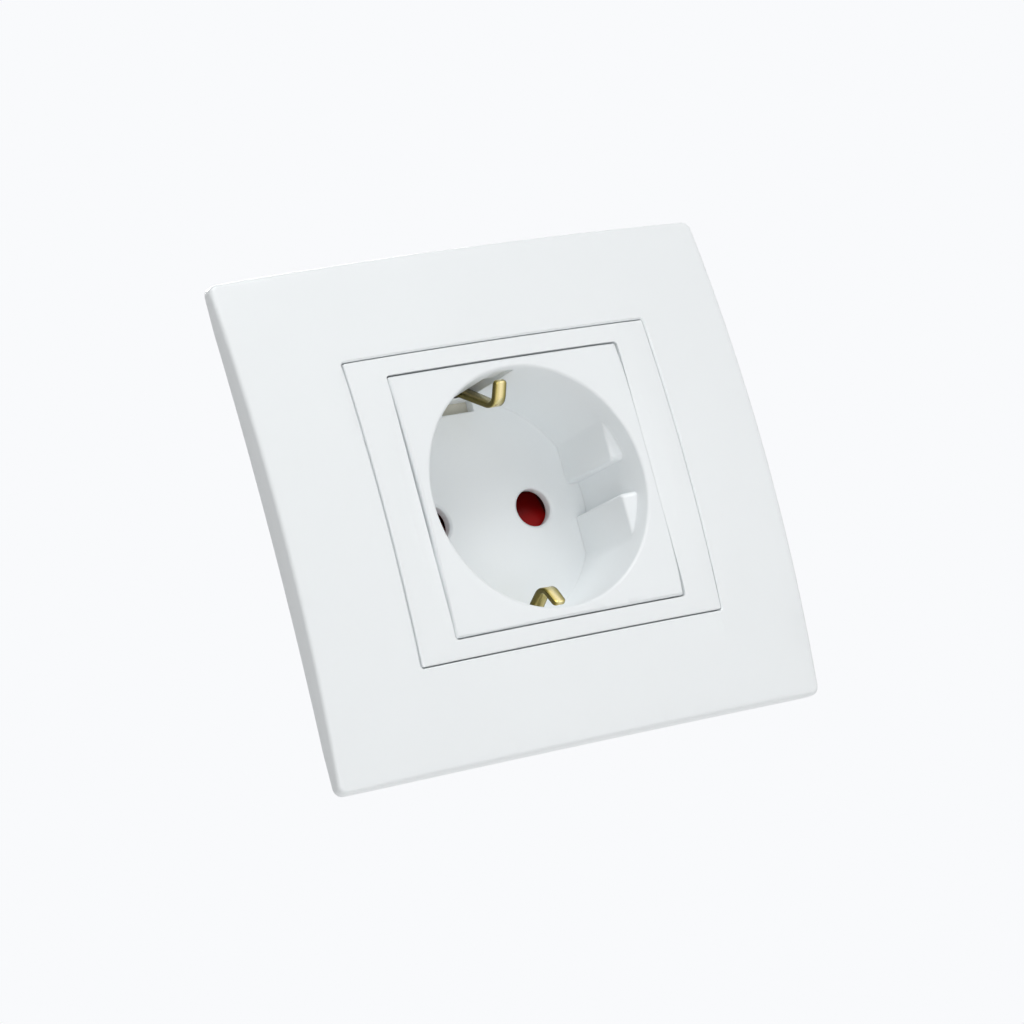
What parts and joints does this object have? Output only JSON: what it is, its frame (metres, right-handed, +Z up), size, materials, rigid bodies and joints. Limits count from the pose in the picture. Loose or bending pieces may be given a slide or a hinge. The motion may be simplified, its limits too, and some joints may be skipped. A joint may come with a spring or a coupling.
{
  "type": "grounded socket outlet",
  "caption": "Flush grounded wall socket: arched frame, inner ring, round plug recess with shuttered pin entries and side earth clips, on a steel support frame with spreading claws.",
  "frame": {"origin": "on the wall face, midway between the two box screws, which is also the axis of the plug recess", "axes": "+X to the right seen from the room, +Y into the wall, +Z up"},
  "size_m": [0.0896, 0.0441, 0.0802],
  "materials": {
    "white_plastic": "smooth, softly glossy",
    "shutter_plastic": "smooth, red",
    "base_plastic": "matt, pale beige",
    "brass": "stamped sheet",
    "plated_steel": "zinc plated",
    "spring_steel": "drawn wire"
  },
  "bodies": {
    "socket": {"outer_frame": "white_plastic", "inner_ring": "white_plastic", "socket_cover": "white_plastic", "mechanism_base": "base_plastic", "shutter_tray": "base_plastic", "left_contact": "brass", "right_contact": "brass", "earth_strap": "brass", "support_frame": "plated_steel", "base_rivet_1": "plated_steel", "base_rivet_2": "plated_steel", "base_rivet_3": "plated_steel", "base_rivet_4": "plated_steel", "left_claw_screw": "plated_steel", "right_claw_screw": "plated_steel", "left_clamp": "plated_steel", "right_clamp": "plated_steel", "earth_clamp": "plated_steel", "left_terminal_screw": "plated_steel", "right_terminal_screw": "plated_steel", "earth_terminal_screw": "plated_steel", "shutter_spring": "spring_steel"},
    "shutter": {"shutter_slide": "shutter_plastic"},
    "left_claw": {"left_claw": "plated_steel"},
    "right_claw": {"right_claw": "plated_steel"}
  },
  "joints": [
    {"name": "shutter_travel", "type": "slide", "parent": "socket", "child": "shutter", "axis": [0, 0, -1], "range_m": [0, 0.0066], "stiffness_N_per_m": 384, "springref_m": -0.002, "deforming": ["shutter_spring"]},
    {"name": "left_claw_swing", "type": "hinge", "parent": "socket", "child": "left_claw", "pos_m": [-0.0284, 0.0034, 0], "axis": [0, 0, 1], "range_deg": [0, 22]},
    {"name": "right_claw_swing", "type": "hinge", "parent": "socket", "child": "right_claw", "pos_m": [0.0284, 0.0034, 0], "axis": [0, 0, -1], "range_deg": [0, 22]}
  ]
}
